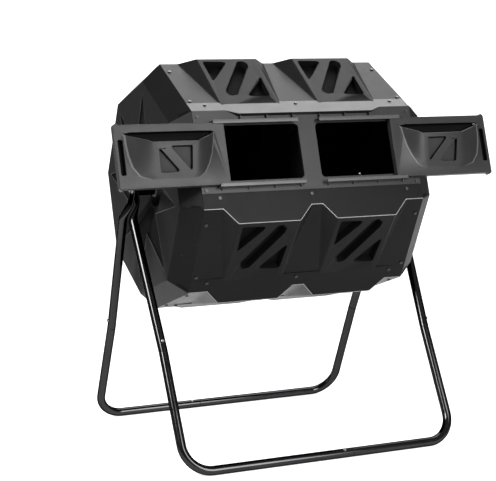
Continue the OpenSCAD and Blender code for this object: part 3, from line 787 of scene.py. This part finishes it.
def sweep(name, rings, nodes):
    """A smooth tube with closed ends through rings of points, given in millimetres."""
    skin = Skin()
    for a, b in zip(rings, rings[1:]):
        skin.wall(a, b)
    skin.face(list(reversed(rings[0])))
    skin.face(rings[-1])
    for end in (rings[0], rings[-1]):
        for i in range(len(end)):
            skin.crease(end[i - 1], end[i], 1.0)
    obj = skin.to_object(name, TO_M, recalc=True)
    finish_piece(obj, TUBE, "stand", nodes, bevel=0.7, segments=2)


def circle(m, r, z=0.0):
    turns = [2 * math.pi * i / SIDES for i in range(SIDES)]
    return [tuple(m @ Vector((r * math.cos(a), r * math.sin(a), z))) for a in turns]


def pressed(sy, wide, z):
    """A tube's section where it is pressed flat, in its eye's own axes."""
    out = []
    for i in range(SIDES):
        a = 2 * math.pi * i / SIDES
        c, s = math.cos(a), math.sin(a)
        x = EYE_THICK * math.copysign(abs(c) ** 0.45, c)
        y = wide * math.copysign(abs(s) ** 0.9, s)
        out.append(Vector((x, -sy * y, z)))
    return out


def base_rings(sx, sy, bar_end):
    """From a leg joint down, round the bend and along the floor to bar_end."""
    m = leg_axes(sx, sy, False)
    straight = LOWER_LEN - BEND
    rings = [circle(m, TUBE_R), circle(m, TUBE_R, -straight * 0.5)]
    for i in range(BEND_STEPS + 1):
        a = math.radians(90 * i / BEND_STEPS)
        turn = (m @ Matrix.Translation((-BEND, 0, -straight)) @ Matrix.Rotation(a, 4, "Y")
                @ Matrix.Translation((BEND, 0, 0)))
        rings.append(circle(turn, TUBE_R))
    end = m @ Matrix.Translation((-BEND, 0, -LOWER_LEN)) @ Matrix.Rotation(math.radians(90), 4, "Y")
    reach = FOOT_X - BEND - bar_end
    rings.append(circle(end, TUBE_R, -reach * 0.5))
    rings.append(circle(end, TUBE_R, -reach))
    return rings


def upper_rings(sx, sy):
    """From a leg joint up, easing from round to the pressed eye on the axle."""
    m = leg_axes(sx, sy, True)
    neck = UPPER_LEN - NECK
    rings = [circle(m, TUBE_R, z) for z in (1.0, neck * 0.5, neck - 14)]
    eye_x = EYE_X + (EYE_STACK if sy > 0 else 0.0) + EYE_THICK
    eye = (Matrix.Diagonal((sx, 1, 1, 1)) @ Matrix.Translation((eye_x, 0, AXLE))
           @ Matrix.Rotation(sy * LEG_ANGLE, 4, "X"))
    for i in range(1, NECK_STEPS + 1):
        t = i / NECK_STEPS
        ease = t * t * (3 - 2 * t)
        full = [Vector(p) for p in circle(m, TUBE_R, neck - 14 + 40 * t)]
        flat = [eye @ p for p in pressed(sy, EYE_WIDE, -NECK + 38 * t)]
        rings.append([tuple(p.lerp(q, ease)) for p, q in zip(full, flat)])
    for z, wide in EYE_OUTLINE:
        rings.append([tuple(eye @ p) for p in pressed(sy, wide, z)])
    return rings


def spigot_rings(m, start):
    """The narrowed end that shows in a joint's thin seam."""
    return [circle(m, SPIGOT_R, start), circle(m, SPIGOT_R, 2), circle(m, SPIGOT_END_R, 4)]


for side, sx in (("left", -1), ("right", 1)):
    for depth, sy in (("front", -1), ("back", 1)):
        node = "leg_upper_%s_%s" % (depth, side)
        sweep("coated_" + node, upper_rings(sx, sy), [node])
# a long piece passes the middle of its bar, so its end is negative on its own side
for node, sx, sy, bar_end in (("front_long", -1, -1, SEAM_GAP - FRONT_SEAM),
                              ("front_short", 1, -1, FRONT_SEAM),
                              ("back_long", 1, 1, -BACK_SEAM),
                              ("back_short", -1, 1, BACK_SEAM + SEAM_GAP)):
    sweep("coated_base_" + node, base_rings(sx, sy, bar_end), ["base_tube_" + node])
for i, (sx, sy) in enumerate(((-1, -1), (1, -1), (-1, 1), (1, 1))):
    sweep("spigot_leg_%d" % i, spigot_rings(leg_axes(sx, sy, True), -1.5), [])
for i, (x, sy) in enumerate(((FRONT_SEAM, -1), (-BACK_SEAM, 1))):
    m = Matrix.Translation((x, sy * FOOT_Y, TUBE_R)) @ Matrix.Rotation(math.radians(-90), 4, "Y")
    sweep("spigot_bar_%d" % i, spigot_rings(m, -2), [])

# ---------------------------------------------------------------- CAD nodes kept as they are
MOULDED_EDGE = 0.0009
slot_of = {s["node"]: s["material_slot"] for s in frame["record"]["subparts"]}
for name, obj in NODES.items():
    material = BY_NODE.get(name, BY_SLOT[slot_of[name]])
    if name.startswith("snap_button"):
        material = BUTTON
    paint(obj, material)
    if name == "panel_door" or name.startswith("door_rails"):
        soften(obj, MOULDED_EDGE)

# ---------------------------------------------------------------- stage
FLOOR_SIZE, BACKDROP_SIZE = 3.6, 3.0
BACKDROP_PLACE = (3.4, 7.8, 0.0)
PAINT_ROUGH = 0.95
WORLD_GLOW = 0.36
# name, place, target, width, height in metres, and power in watts
LAMPS = [
    ("left_box", (-3.1, -1.2, 2.5), (0, 0, 0.70), 1.4, 1.4, 210.0),
    ("right_box", (1.1, -4.0, 1.8), (0, 0, 0.65), 1.5, 2.6, 190.0),
    ("top_box", (1.3, 1.5, 3.7), (0, 0, 0.8), 3.0, 2.4, 150.0),
]


def plain_material(name, grey, glow):
    """Matt studio paint; the glow keeps it white without strong lamps."""
    material = bpy.data.materials.new(name)
    material.use_nodes = True
    bsdf = material.node_tree.nodes["Principled BSDF"]
    bsdf.inputs["Base Color"].default_value = (grey, grey, grey, 1.0)
    bsdf.inputs["Roughness"].default_value = PAINT_ROUGH
    bsdf.inputs["Specular IOR Level"].default_value = 0.05
    bsdf.inputs["Emission Color"].default_value = (1.0, 1.0, 1.0, 1.0)
    bsdf.inputs["Emission Strength"].default_value = glow
    return material


def stage_plane(name, size, matrix, material):
    bm = bmesh.new()
    bmesh.ops.create_grid(bm, x_segments=1, y_segments=1, size=size)
    mesh = bpy.data.meshes.new(name)
    bm.to_mesh(mesh)
    bm.free()
    obj = bpy.data.objects.new(name, mesh)
    bpy.context.collection.objects.link(obj)
    obj.matrix_world = matrix
    mesh.materials.append(material)


def area_light(name, place, target, width, height, power):
    data = bpy.data.lights.new(name, "AREA")
    data.shape = "RECTANGLE"
    data.size = width
    data.size_y = height
    data.energy = power
    obj = bpy.data.objects.new(name, data)
    bpy.context.collection.objects.link(obj)
    obj.location = place
    obj.rotation_euler = (Vector(target) - Vector(place)).to_track_quat("-Z", "Y").to_euler()


stage_plane("floor", FLOOR_SIZE, Matrix.Identity(4), plain_material("floor_paint", 0.60, 0.70))
stage_plane("backdrop", BACKDROP_SIZE,
            Matrix.Translation(BACKDROP_PLACE) @ Matrix.Rotation(YAW, 4, "Z")
            @ Matrix.Rotation(math.radians(90), 4, "X"),
            plain_material("backdrop_paint", 0.9, 1.0))
world = bpy.data.worlds.new("studio")
bpy.context.scene.world = world
world.use_nodes = True
background = world.node_tree.nodes["Background"]
background.inputs["Color"].default_value = (1.0, 1.0, 1.0, 1.0)
background.inputs["Strength"].default_value = WORLD_GLOW
for lamp in LAMPS:
    area_light(*lamp)
bpy.context.scene.view_settings.view_transform = "Standard"
